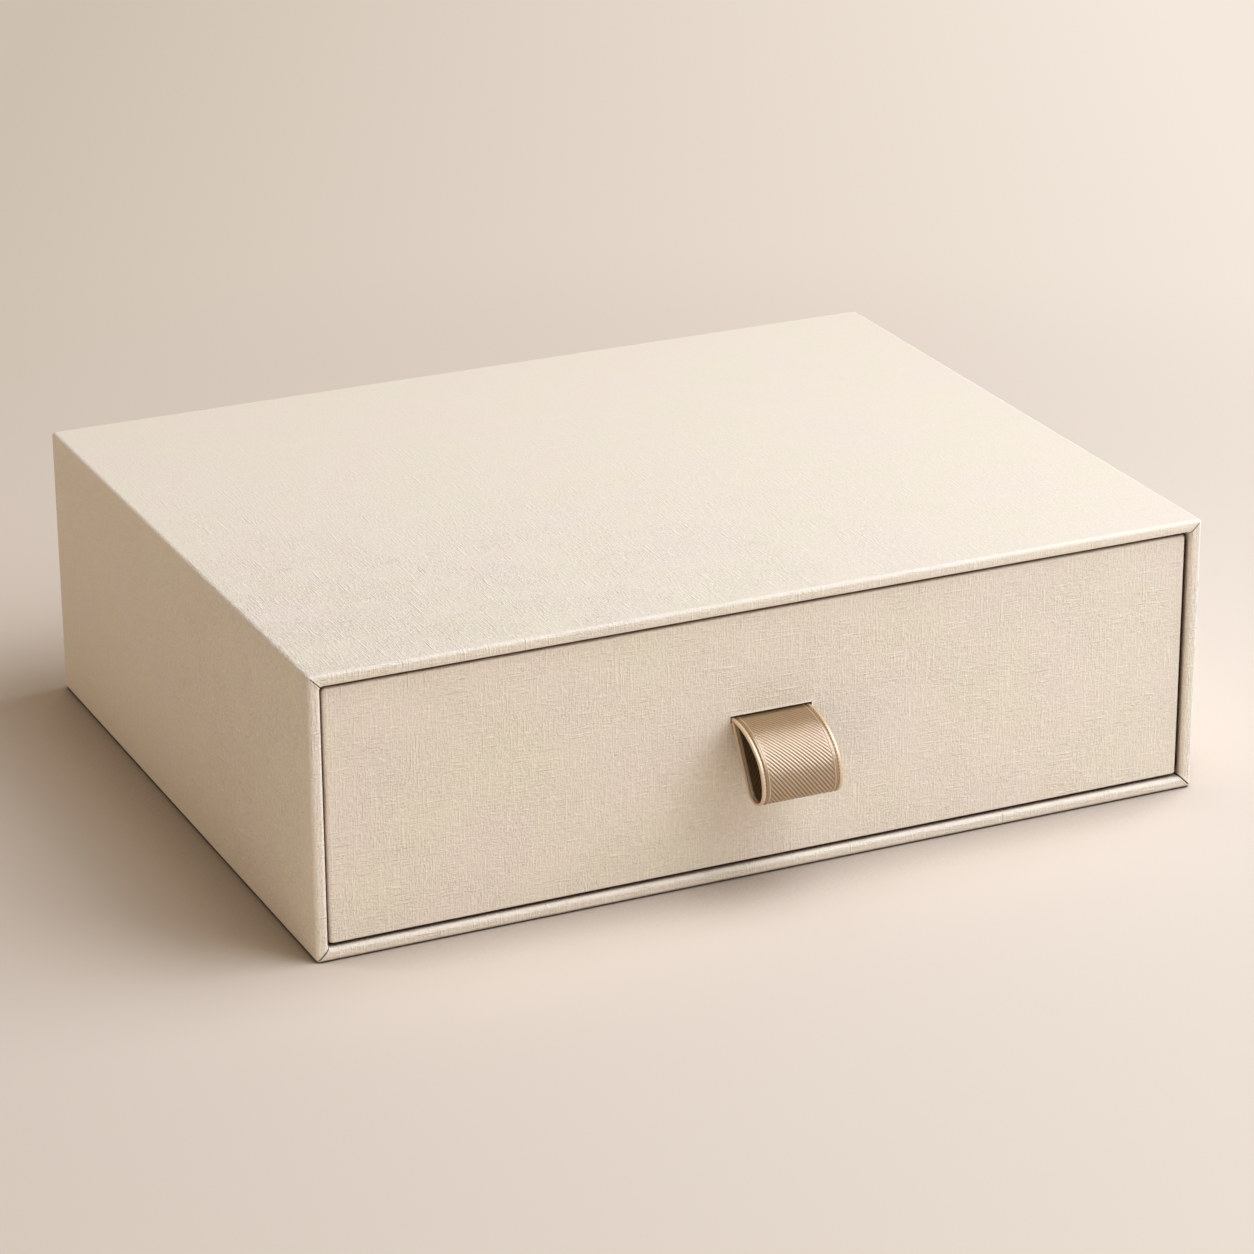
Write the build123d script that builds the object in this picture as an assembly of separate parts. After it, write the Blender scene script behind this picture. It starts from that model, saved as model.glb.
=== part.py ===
# A rigid gift box with a sliding drawer. A board sleeve, closed at the back, stands on its base, and a
# board drawer slides out of its open front by a ribbon pull. The boards are held together by gummed stay
# tape and covered in linen-textured paper, which is drawn over the rims and turned in.
#
# X is the width, Y runs from the open front (-Y) to the back (+Y) and Z is up. The origin is the middle
# of the face that the sleeve rests on. Lengths are in millimetres and angles in degrees.

import os
from math import asin, atan2, cos, degrees, hypot, radians, sin, sqrt

from build123d import *

# The sleeve
sleeve_width = 275.0
sleeve_depth = 216.0
sleeve_height = 84.0
sleeve_edge_radius = 1.2  # paper drawn over a board's edge
mouth_edge_radius = 1.2  # inner edge of the rim round the open front

# Sheet materials
sleeve_board = 3.0
drawer_board = 2.5
cover_paper = 0.2
lining_paper = 0.15
stay_tape = 0.1
glue_line = 0.03

# Where papers and tapes end
mouth_turn_in = 18.0  # cover paper inside the sleeve's mouth, measured from the front
rim_turn_in = 12.0  # cover paper inside the drawer, measured from the rim
turn_over = 15.0  # cover paper turned over a back or a base
panel_inset = 2.0  # back and base papers stop this far inside the edges
lining_lap = 4.0  # linings lap over the turned-in cover by this much
lining_foot = 8.0  # the drawer's wall lining turns in over the floor by this much
floor_paper_clearance = 0.4
tape_leg = 10.0  # each leg of an L-shaped stay tape
tape_end_gap = 4.0  # a tape stops this far short of a rim, an edge or another tape
seam_gap = 0.15  # open line where two mitred flaps meet

# How the drawer fits the sleeve
side_clearance = 0.5
top_clearance = 0.8
floor_clearance = 0.3
stop_clearance = 0.3  # behind the closed drawer
drawer_recess = 1.5  # the closed drawer's front stands this far inside the sleeve's rim
drawer_edge_radius = 1.5
rim_edge_radius = 1.0  # inner edge of the drawer's rim

# The ribbon pull
ribbon_width = 25.0
ribbon_thickness = 0.8
layer_gap = 0.1  # between the ribbon's two layers in the slit
slit_clearance = 0.15  # above and below the two layers
slit_end_clearance = 0.5
slit_rise = 6.5  # the slit's height above the middle of the drawer's front
root_clearance = 0.3  # round the loop's root, about which it swings
crown_radius = 22.7  # the loop's top layer where it leaves the slit
crown_angle = 40.0
shoulder_radius = 12.6
toe_radius = 5.4  # the turn at the bottom of the loop
tail_length = 12.0  # each end of the ribbon, glued up or down inside the drawer's front
patch_margin = 1.0  # the patch is raised this far round the tails
patch_flange = 5.0

# Depths of the glued layers
under_cover = cover_paper + glue_line  # from a cover's outside to the tape under it
board_inset = under_cover + stay_tape + glue_line  # from a cover's outside to a board's outer face
turn_in_inset = glue_line + cover_paper  # from a board's inner face to a turned-in cover's free face
lining_inset = turn_in_inset + glue_line
lined_inset = lining_inset + lining_paper  # from a board's inner face to a lining's free face
past = 10.0  # how far a cutting block runs past what it cuts


def inset(span, amount):
    """A (low, high) span drawn in at both ends."""
    return (span[0] + amount, span[1] - amount)


# The sleeve's outside, the form that its cover paper takes and the hollow between its boards. Forms are
# three spans, for X, Y and Z.
sleeve_x = (-sleeve_width / 2, sleeve_width / 2)
(front_y, back_y) = (-sleeve_depth / 2, sleeve_depth / 2)
sleeve_cover_form = (sleeve_x, (front_y, back_y - cover_paper), (cover_paper, sleeve_height))
sleeve_base_form = (sleeve_x, (front_y, back_y - cover_paper), (0, sleeve_height))
hollow_x = inset(sleeve_x, board_inset + sleeve_board)
hollow_z = inset(sleeve_cover_form[2], board_inset + sleeve_board)
back_board_y = inset(sleeve_cover_form[1], board_inset)[1]
back_wall_y = back_board_y - sleeve_board

# The drawer's outside, where it stands closed, and the hollow between its boards
drawer_x = inset(hollow_x, lined_inset + side_clearance)
drawer_y = (front_y + drawer_recess, back_wall_y - glue_line - lining_paper - stop_clearance)
drawer_z = (hollow_z[0] + lined_inset + floor_clearance, hollow_z[1] - lined_inset - top_clearance)
drawer_cover_form = (drawer_x, drawer_y, (drawer_z[0] + cover_paper, drawer_z[1]))
inner_x = inset(drawer_x, board_inset + drawer_board)
inner_y = inset(drawer_y, board_inset + drawer_board)
floor_z = drawer_cover_form[2][0] + board_inset + drawer_board

# The ribbon's slit and the line about which the loop swings
root_radius = ribbon_thickness + layer_gap / 2
slit_z = (drawer_z[0] + drawer_z[1]) / 2 + slit_rise
root_y = drawer_y[0] - root_radius - root_clearance
tail_y = inner_y[0] + lined_inset + glue_line  # the outer face of the tails, on the lining


def block(x, y, z):
    centre = Pos((x[0] + x[1]) / 2, (y[0] + y[1]) / 2, (z[0] + z[1]) / 2)
    return centre * Box(x[1] - x[0], y[1] - y[0], z[1] - z[0])


def rounded_block(form, radius, amount):
    """A form with rounded edges, drawn in on all sides about the same centres of rounding."""
    solid = block(*(inset(span, amount) for span in form))
    return fillet(solid.edges(), radius - amount)


def open_box(form, radius, amount, hollow, direction, rim_radius):
    """A rounded block with a hollow that opens in one direction, where its inner rim is rounded."""
    body = rounded_block(form, radius, amount) - block(*hollow)
    rim = body.faces().sort_by(direction)[-1]
    return fillet(rim.inner_wires()[0].edges(), rim_radius)


def cover_sheet(form, radius, hollow, direction, rim_radius):
    """Cover paper over the whole of a form, its rim and the inside of its hollow's walls."""
    outside = open_box(form, radius, 0, hollow(turn_in_inset), direction, rim_radius)
    inside = open_box(form, radius, cover_paper, hollow(glue_line), direction, rim_radius - cover_paper)
    return outside - inside


def mitred_sides(x, z):
    """The regions below, right of, above and left of a rectangle's mitre lines, seen from the front."""
    reach = sleeve_height / 3
    outer_x, outer_z = inset(x, -past), inset(z, -past)
    inner_x, inner_z = inset(x, reach), inset(z, reach)
    corners = ((0, 0), (1, 0), (1, 1), (0, 1))
    outer = [(outer_x[i], outer_z[j]) for i, j in corners]
    inner = [(inner_x[i], inner_z[j]) for i, j in corners]
    return [Polygon(outer[i - 1], outer[i], inner[i], inner[i - 1], align=None) for i in (1, 2, 3, 0)]


def prism_along_y(outline, y):
    return extrude(Plane.XZ.offset(-y[1]) * outline, amount=y[1] - y[0])


def mitre_seam(corner, inward, along, radius, rim, depth):
    """The open line between two flaps, from a rounded corner across a rim and down its inner face."""
    start = sqrt(2) * radius * (1 - sqrt(0.5)) + cover_paper
    plate = Box(sqrt(2) * rim, seam_gap, depth, align=(Align.MIN, Align.CENTER, Align.MIN))
    return Plane(origin=corner, x_dir=inward, z_dir=along) * Pos(start, 0, 0) * plate


def tape_layer(form, radius):
    """Tape over the whole of a set of boards, from which strips are taken."""
    return rounded_block(form, radius, under_cover) - rounded_block(form, radius, under_cover + stay_tape)


def edge_strip(layer, form, sides, length):
    """The strip of a layer that laps one edge. Sides holds -1 or 1 for the edge's faces and 0 along it."""
    zone = []
    for span, side in zip(form, sides):
        if side == 0:
            zone.append(length)
        elif side < 0:
            zone.append((span[0] - past, span[0] + tape_leg))
        else:
            zone.append((span[1] - tape_leg, span[1] + past))
    return layer & block(*zone)


def group(pieces):
    return Compound([solid for piece in pieces for solid in piece.solids()])


# ---- The sleeve ----


def mouth_hollow(amount):
    """The sleeve's hollow as deep as its cover is turned in, with its walls drawn in."""
    return (inset(hollow_x, amount), (front_y - past, front_y + mouth_turn_in), inset(hollow_z, amount))


def sleeve_walls():
    """Four boards that meet at mitres, open at both ends."""
    through = (hollow_x, (front_y - past, back_y + past), hollow_z)
    rim_radius = mouth_edge_radius - turn_in_inset
    tube = open_box(sleeve_cover_form, sleeve_edge_radius, board_inset, through, -Axis.Y, rim_radius)
    names = ("sleeve_bottom_board", "sleeve_right_board", "sleeve_top_board", "sleeve_left_board")
    boards = inset(sleeve_x, board_inset), inset(sleeve_cover_form[2], board_inset)
    sides = mitred_sides(*boards)
    return {name: tube & prism_along_y(side, through[1]) for name, side in zip(names, sides)}


def sleeve_back_board():
    return block(hollow_x, (back_wall_y, back_board_y), hollow_z)


def sleeve_edge_tapes():
    layer = tape_layer(sleeve_cover_form, sleeve_edge_radius)
    length = inset(sleeve_cover_form[1], tape_end_gap)
    return group(edge_strip(layer, sleeve_cover_form, (x, 0, z), length) for x in (-1, 1) for z in (-1, 1))


def sleeve_back_tapes():
    layer = tape_layer(sleeve_cover_form, sleeve_edge_radius)
    across = inset(sleeve_x, tape_leg + tape_end_gap)
    upright = inset(sleeve_cover_form[2], tape_leg + tape_end_gap)
    level = [edge_strip(layer, sleeve_cover_form, (0, 1, z), across) for z in (-1, 1)]
    return group(level + [edge_strip(layer, sleeve_cover_form, (x, 1, 0), upright) for x in (-1, 1)])


def mouth_seams():
    """Mitre lines at the four corners of the open front."""
    seams = []
    for x, inward_x in zip(sleeve_x, (1, -1)):
        for z, inward_z in zip((0, sleeve_height), (1, -1)):
            rim = sleeve_board + board_inset + turn_in_inset + cover_paper
            corner = (x, front_y - past, z)
            inward = (inward_x, 0, inward_z)
            depth = past + mouth_turn_in
            seams.append(mitre_seam(corner, inward, (0, 1, 0), sleeve_edge_radius, rim, depth))
    return seams


def base_flap_zone():
    """Where the base's paper, not the sides', covers the open front's rim."""
    below = mitred_sides(sleeve_x, (0, sleeve_height))[0]
    return prism_along_y(below, (front_y - past, front_y + mouth_turn_in))


def sleeve_cover():
    """One sheet over the left, top and right, turned in at the front and over the back and the base."""
    (x, y, z) = sleeve_cover_form
    sheet = cover_sheet(sleeve_cover_form, sleeve_edge_radius, mouth_hollow, -Axis.Y, mouth_edge_radius)
    between_flaps = inset(x, turn_over)
    base_opening = block(between_flaps, inset(y, -past), (z[0] - past, z[0] + under_cover))
    behind = (y[1] - sleeve_edge_radius, y[1] + past)
    back_opening = block(between_flaps, behind, (z[0] - past, z[1] - turn_over))
    return sheet - base_opening - back_opening - base_flap_zone() - mouth_seams()


def sleeve_base_cover():
    """The sheet that the sleeve stands on, drawn over the front's rim and turned up the back."""
    (x, y, z) = sleeve_base_form
    sheet = cover_sheet(sleeve_base_form, sleeve_edge_radius, mouth_hollow, -Axis.Y, mouth_edge_radius)
    panel_y = (y[0] + sleeve_edge_radius, y[1] - panel_inset)
    panel = block(inset(x, panel_inset), panel_y, (z[0] - past, z[0] + under_cover))
    behind = (y[1] - turn_over, y[1] + past)
    back_flap = block(inset(x, turn_over + seam_gap), behind, (z[0] - past, z[0] + turn_over))
    return (sheet & (base_flap_zone() + panel + back_flap)) - mouth_seams()


def sleeve_back_cover():
    z = (0, sleeve_height)
    return block(inset(sleeve_x, panel_inset), (back_y - cover_paper, back_y), inset(z, panel_inset))


def sleeve_wall_lining():
    y = (front_y + mouth_turn_in - lining_lap, back_wall_y - glue_line)
    outside = block(inset(hollow_x, lining_inset), y, inset(hollow_z, lining_inset))
    return outside - block(inset(hollow_x, lined_inset), inset(y, -past), inset(hollow_z, lined_inset))


def sleeve_back_lining():
    edge = lined_inset + glue_line
    y = (back_wall_y - glue_line - lining_paper, back_wall_y - glue_line)
    return block(inset(hollow_x, edge), y, inset(hollow_z, edge))


# ---- The drawer ----


def drawer_hollow(amount):
    """The drawer's hollow as deep as its cover is turned in, with its walls drawn in."""
    return (inset(inner_x, amount), inset(inner_y, amount), (drawer_z[1] - rim_turn_in, drawer_z[1] + past))


def slit():
    """The slot for the ribbon, through everything that makes up the drawer's front."""
    half_height = root_radius + slit_clearance
    x = inset((-ribbon_width / 2, ribbon_width / 2), -slit_end_clearance)
    return block(x, (drawer_y[0] - past, inner_y[0] + past), (slit_z - half_height, slit_z + half_height))


def drawer_boards():
    """The front and back boards stand across the ends of the side boards, and the base lies between."""
    to_top = (floor_z, drawer_z[1] + past)
    rim_radius = rim_edge_radius - turn_in_inset
    box = (drawer_cover_form, drawer_edge_radius, board_inset, (inner_x, inner_y, to_top))
    tray = open_box(*box, Axis.Z, rim_radius)
    all_x, all_y, all_z = (inset(span, -past) for span in (drawer_x, drawer_y, drawer_z))
    return {
        "drawer_front_board": (tray & block(all_x, (all_y[0], inner_y[0]), all_z)) - slit(),
        "drawer_back_board": tray & block(all_x, (inner_y[1], all_y[1]), all_z),
        "drawer_left_board": tray & block((all_x[0], inner_x[0]), inner_y, all_z),
        "drawer_right_board": tray & block((inner_x[1], all_x[1]), inner_y, all_z),
        "drawer_base_board": tray & block(inner_x, inner_y, all_z),
    }


def drawer_corner_tapes():
    layer = tape_layer(drawer_cover_form, drawer_edge_radius)
    height = inset(drawer_z, tape_end_gap)
    return group(edge_strip(layer, drawer_cover_form, (x, y, 0), height) for x in (-1, 1) for y in (-1, 1))


def rim_seams():
    """Mitre lines at the four corners of the drawer's rim."""
    seams = []
    for x, inward_x in zip(drawer_x, (1, -1)):
        for y, inward_y in zip(drawer_y, (1, -1)):
            rim = drawer_board + board_inset + turn_in_inset + cover_paper
            corner = (x, y, drawer_z[1] + past)
            inward = (inward_x, inward_y, 0)
            depth = past + rim_turn_in
            seams.append(mitre_seam(corner, inward, (0, 0, -1), drawer_edge_radius, rim, depth))
    return seams


def drawer_cover():
    """One sheet round the four walls, turned in over the rim and turned over the base."""
    (x, y, z) = drawer_cover_form
    sheet = cover_sheet(drawer_cover_form, drawer_edge_radius, drawer_hollow, Axis.Z, rim_edge_radius)
    base_opening = block(inset(x, turn_over), inset(y, turn_over), (z[0] - past, z[0] + under_cover))
    return sheet - base_opening - rim_seams() - slit()


def drawer_base_cover():
    z = (drawer_z[0], drawer_z[0] + cover_paper)
    return block(inset(drawer_x, panel_inset), inset(drawer_y, panel_inset), z)


def drawer_wall_lining():
    """The lining of the four walls, with a foot turned in all round the floor."""
    foot_z = floor_z + glue_line
    top_z = drawer_z[1] - rim_turn_in + lining_lap
    outside = block(inset(inner_x, lining_inset), inset(inner_y, lining_inset), (foot_z, top_z))
    within = (foot_z + lining_paper, top_z + past)
    inside = block(inset(inner_x, lined_inset), inset(inner_y, lined_inset), within)
    foot_edge = lined_inset + lining_foot
    floor_opening = block(inset(inner_x, foot_edge), inset(inner_y, foot_edge), (floor_z, floor_z + past))
    return outside - inside - floor_opening - slit()


def drawer_floor_paper():
    z = floor_z + glue_line + lining_paper + glue_line
    edge = lined_inset + floor_paper_clearance
    return block(inset(inner_x, edge), inset(inner_y, edge), (z, z + lining_paper))


# ---- The ribbon pull ----


def extrude_ribbon(outline):
    return extrude(outline, amount=ribbon_width / 2, both=True)


def pull_tails():
    """The ribbon's two ends, which pass through the slit and are glued up and down the lining."""
    low = slit_z + layer_gap / 2
    high = low + ribbon_thickness
    end = high + tail_length
    inside_y = tail_y + ribbon_thickness
    turn = Polygon(
        (drawer_y[0], low),
        (inside_y, low),
        (inside_y, end),
        (tail_y, end),
        (tail_y, high),
        (drawer_y[0], high),
        align=None,
    )
    corner = turn.vertices().sort_by_distance((inside_y, low))[0]
    upper = extrude_ribbon(Plane.YZ * fillet(corner, ribbon_thickness / 2))
    return group([upper, mirror(upper, about=Plane.XY.offset(slit_z))])


def pull_patch():
    """A paper patch over the tails, raised where it covers them and glued to the lining all round."""
    half_x = ribbon_width / 2 + patch_margin
    half_z = root_radius + tail_length + patch_margin
    lining_y = tail_y - glue_line
    under_y = tail_y + ribbon_thickness + glue_line

    def rectangle(edge, y):
        return block((-half_x - edge, half_x + edge), y, (slit_z - half_z - edge, slit_z + half_z + edge))

    flange = rectangle(patch_flange, (tail_y, tail_y + lining_paper))
    raised = rectangle(lining_paper, (tail_y, under_y + lining_paper))
    return flange + raised - rectangle(0, (lining_y, under_y))


def loop_outline():
    """The loop from the side, as outlines at the ribbon's outer and inner faces.

    Each is a belt round its root and its toe. The origin is the root, X points away from the drawer.
    """
    crown_centre = Vector(0, root_radius - crown_radius)
    lean = radians(90 - crown_angle)
    shoulder_centre = crown_centre + Vector(cos(lean), sin(lean)) * (crown_radius - shoulder_radius)
    toe_centre = shoulder_centre + Vector(shoulder_radius - toe_radius, 0)
    reach = hypot(toe_centre.X, toe_centre.Y)
    back_angle = degrees(atan2(-toe_centre.Y, toe_centre.X) + asin((toe_radius - root_radius) / reach))
    faces = []
    for amount in (0, ribbon_thickness):
        crown = CenterArc(crown_centre, crown_radius - amount, 90, -crown_angle)
        shoulder = CenterArc(shoulder_centre, shoulder_radius - amount, 90 - crown_angle, crown_angle - 90)
        toe = CenterArc(toe_centre, toe_radius - amount, 0, -90 - back_angle)
        root = CenterArc((0, 0), root_radius - amount, -90 - back_angle, back_angle - 180)
        faces.append(make_face([crown, shoulder, toe, Line(toe @ 1, root @ 0), root]))
    return faces[0] - faces[1]


def pull_loop():
    side_view = Plane(origin=(0, root_y, slit_z), x_dir=(0, -1, 0), z_dir=(-1, 0, 0))
    return extrude_ribbon(side_view * loop_outline())


nodes = {
    **sleeve_walls(),
    "sleeve_back_board": sleeve_back_board(),
    "sleeve_edge_tapes": sleeve_edge_tapes(),
    "sleeve_back_tapes": sleeve_back_tapes(),
    "sleeve_cover": sleeve_cover(),
    "sleeve_base_cover": sleeve_base_cover(),
    "sleeve_back_cover": sleeve_back_cover(),
    "sleeve_wall_lining": sleeve_wall_lining(),
    "sleeve_back_lining": sleeve_back_lining(),
    **drawer_boards(),
    "drawer_corner_tapes": drawer_corner_tapes(),
    "drawer_cover": drawer_cover(),
    "drawer_base_cover": drawer_base_cover(),
    "drawer_wall_lining": drawer_wall_lining(),
    "drawer_floor_paper": drawer_floor_paper(),
    "pull_tails": pull_tails(),
    "pull_patch": pull_patch(),
    "pull_loop": pull_loop(),
}

os.makedirs("parts", exist_ok=True)
for name, shape in nodes.items():
    export_step(shape, f"parts/{name}.step")
print(len(nodes), "nodes")
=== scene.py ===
import math

import bmesh
import bpy
import numpy as np
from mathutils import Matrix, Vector


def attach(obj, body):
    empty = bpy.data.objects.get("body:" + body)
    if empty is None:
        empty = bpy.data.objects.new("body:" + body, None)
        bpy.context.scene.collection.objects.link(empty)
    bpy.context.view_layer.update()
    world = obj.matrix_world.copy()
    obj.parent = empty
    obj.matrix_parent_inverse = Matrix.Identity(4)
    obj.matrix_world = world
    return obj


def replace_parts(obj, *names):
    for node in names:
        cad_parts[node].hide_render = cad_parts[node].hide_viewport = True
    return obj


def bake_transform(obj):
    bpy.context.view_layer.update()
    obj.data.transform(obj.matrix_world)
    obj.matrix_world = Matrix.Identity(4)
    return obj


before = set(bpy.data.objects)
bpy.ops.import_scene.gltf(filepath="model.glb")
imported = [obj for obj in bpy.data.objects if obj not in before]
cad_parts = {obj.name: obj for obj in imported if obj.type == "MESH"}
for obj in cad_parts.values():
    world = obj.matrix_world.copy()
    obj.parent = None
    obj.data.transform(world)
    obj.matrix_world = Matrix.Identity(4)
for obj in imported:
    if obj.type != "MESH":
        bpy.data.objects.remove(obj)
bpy.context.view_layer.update()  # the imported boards, papers, ribbon and joints

mm = 0.001  # the box is worked out in millimetres and built in metres
tiny = 1e-6
weld = 0.0005  # millimetres between points of a sheet that are one point
skin = 0.02  # a point less deep than this is on the outer face


def tone(red, green, blue):  # a colour as a screen shows it, 0 to 255, as linear light
    parts = [part / 255 for part in (red, green, blue)]
    return tuple(p / 12.92 if p <= 0.04045 else ((p + 0.055) / 1.055) ** 2.4 for p in parts) + (1,)


def ease(value, low, high):  # 0 below low, 1 above high, smooth between
    share = np.clip((np.asarray(value, float) - low) / (high - low), 0, 1)
    return share * share * (3 - 2 * share)


# Camera and light

cameraSet = {
    "place": (-0.5204, -1.14141, 0.54077),  # metres
    "turn": (68.0512, 0.2968, -24.8395),  # degrees
    "lens": 129.66,  # millimetres
    "sensor": 36,
    "clip": (0.01, 50),
}

lightSet = {
    "horizonTone": (1.03, 0.82, 0.62, 1),  # the studio's walls, warm and brighter than its ceiling
    "ceilingTone": (0.24, 0.20, 0.16, 1),
    "ceilingRise": (0.1, 0.75),  # the walls' tone gives way to the ceiling's between these heights
    "skyStrength": 0.75,
    "aim": (0, 0, 0.05),  # what both softboxes point at
    "windowFrom": (0.545, -0.295, 0.785),  # the large softbox, from the right
    "windowDistance": 1.35,
    "windowSize": 1.4,
    "windowTint": (0.90, 0.93, 1.0),
    "windowPower": 23.3,
    "frontFrom": (0.80, -0.55, 0.25),  # a weak cool fill from the front right
    "frontDistance": 0.75,
    "frontSize": 0.5,
    "frontTint": (0.2, 0.55, 1.0),
    "frontPower": 0.6,
}

backdropSet = {
    "dimSide": tone(206, 192, 176),  # the backdrop and the far floor, away from the window light
    "brightSide": tone(245, 233, 221),
    "brightWay": (0.907, -0.42, 0.0),
    "reach": 0.27,  # metres from the middle to each of those tones
}


def setCamera(s):
    data = bpy.data.cameras.new("boxCamera")
    data.lens = s["lens"]
    data.sensor_width = s["sensor"]
    data.clip_start, data.clip_end = s["clip"]
    camera = bpy.data.objects.new("boxCamera", data)
    camera.location = s["place"]
    camera.rotation_euler = [math.radians(angle) for angle in s["turn"]]
    bpy.context.scene.collection.objects.link(camera)
    bpy.context.scene.camera = camera


def addSoftbox(s, kind):
    data = bpy.data.lights.new(kind + "Light", "AREA")
    data.shape, data.size = "SQUARE", s[kind + "Size"]
    data.energy, data.color = s[kind + "Power"], s[kind + "Tint"]
    lamp = bpy.data.objects.new(kind + "Light", data)
    away = Vector(s[kind + "From"]).normalized()
    lamp.location = Vector(s["aim"]) + away * s[kind + "Distance"]
    lamp.rotation_mode = "QUATERNION"
    lamp.rotation_quaternion = away.to_track_quat("Z", "Y")
    bpy.context.scene.collection.objects.link(lamp)


def backdropTone(tree, place, reach):  # painted light falloff: dim on the left to bright on the right
    s = backdropSet
    dot = addNode(tree, "VectorMath", {0: place, 1: s["brightWay"]}, operation="DOT_PRODUCT")
    toRight = spread(tree, dot.outputs["Value"], -reach, reach)
    return mixTone(tree, toRight, s["dimSide"], s["brightSide"])


def setLight(s):
    world = bpy.data.worlds.new("studioSky")
    bpy.context.scene.world = world
    world.use_nodes = True
    tree = world.node_tree
    tree.nodes.clear()
    way = addNode(tree, "TexCoord").outputs["Generated"]
    rise = addNode(tree, "SeparateXYZ", {0: way}).outputs[2]
    ceiling = spread(tree, rise, *s["ceilingRise"])
    skyTone = mixTone(tree, ceiling, s["horizonTone"], s["ceilingTone"])
    sky = addNode(tree, "Background", {"Color": skyTone, "Strength": s["skyStrength"]})
    # the backdrop goes on from the floor's far edge in the same tones
    farTone = backdropTone(tree, way, backdropSet["reach"] / floorLook["half"])
    backdrop = addNode(tree, "Background", {"Color": farTone, "Strength": 1.0})
    path = addNode(tree, "LightPath")
    seen = addMath(tree, "MAXIMUM", path.outputs["Is Camera Ray"], path.outputs["Is Glossy Ray"])
    seen = addMath(tree, "MAXIMUM", seen, path.outputs["Is Transmission Ray"])
    mixed = addNode(tree, "MixShader", {0: seen, 1: sky.outputs[0], 2: backdrop.outputs[0]})
    addNode(tree, "OutputWorld", {"Surface": mixed.outputs[0]})
    addSoftbox(s, "window")
    addSoftbox(s, "front")


# Shader nodes


def addNode(tree, kind, inputs=None, **settings):
    node = tree.nodes.new("ShaderNode" + kind)
    for key, value in settings.items():
        setattr(node, key, value)
    for key, value in (inputs or {}).items():
        if isinstance(value, bpy.types.NodeSocket):
            tree.links.new(value, node.inputs[key])
        else:
            node.inputs[key].default_value = value
    return node


def addMath(tree, operation, first, second=0.0, third=0.0):
    return addNode(tree, "Math", {0: first, 1: second, 2: third}, operation=operation).outputs[0]


def addNoise(tree, place, stretch, detail=2.0, rough=0.5, twist=0.0):  # from 0 to 1
    mapped = addNode(tree, "Mapping", {"Vector": place, "Scale": stretch}).outputs[0]
    inputs = {"Vector": mapped, "Scale": 1.0, "Detail": detail}
    inputs.update({"Roughness": rough, "Distortion": twist})
    return addNode(tree, "TexNoise", inputs).outputs["Fac"]


def addSwing(tree, place, stretch, **settings):  # the same noise, about 0
    return addMath(tree, "SUBTRACT", addNoise(tree, place, stretch, **settings), 0.5)


def spread(tree, value, low, high, newLow=0.0, newHigh=1.0):
    inputs = {"Value": value, "From Min": low, "From Max": high}
    inputs.update({"To Min": newLow, "To Max": newHigh})
    return addNode(tree, "MapRange", inputs).outputs[0]


def mixTone(tree, share, first, second, blend="MIX"):
    inputs = {0: share, 6: first, 7: second}
    return addNode(tree, "Mix", inputs, data_type="RGBA", blend_type=blend).outputs[2]


def newFinish(name, base, roughness, specular):
    material = bpy.data.materials.new(name)
    material.use_nodes = True
    tree = material.node_tree
    tree.nodes.clear()
    inputs = {"Base Color": base, "Roughness": roughness, "Specular IOR Level": specular}
    shader = addNode(tree, "BsdfPrincipled", inputs)
    addNode(tree, "OutputMaterial", {"Surface": shader.outputs[0]})
    material.diffuse_color = base
    return material, tree, shader


def setBump(tree, shader, height, depth):
    bump = addNode(tree, "Bump", {"Height": height, "Distance": depth, "Strength": 1.0})
    tree.links.new(bump.outputs[0], shader.inputs["Normal"])


def greyShade(tree, lift):  # one brightness for all three channels, to multiply a colour by
    return addNode(tree, "CombineColor", {0: lift, 1: lift, 2: lift}).outputs[0]


def openRoom(tree, reach):  # 1 in the open, less where surfaces lie near each other
    return addNode(tree, "AmbientOcclusion", {"Distance": reach}, samples=4).outputs["AO"]


def sheetPlace(tree):  # millimetres on the flat sheet, so threads run on over each edge
    return addNode(tree, "UVMap", uv_map="flatSheet").outputs[0]


def objectPlace(tree):  # metres in the box's own frame
    return addNode(tree, "TexCoord").outputs["Object"]


# Paper, board and tape finishes

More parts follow.
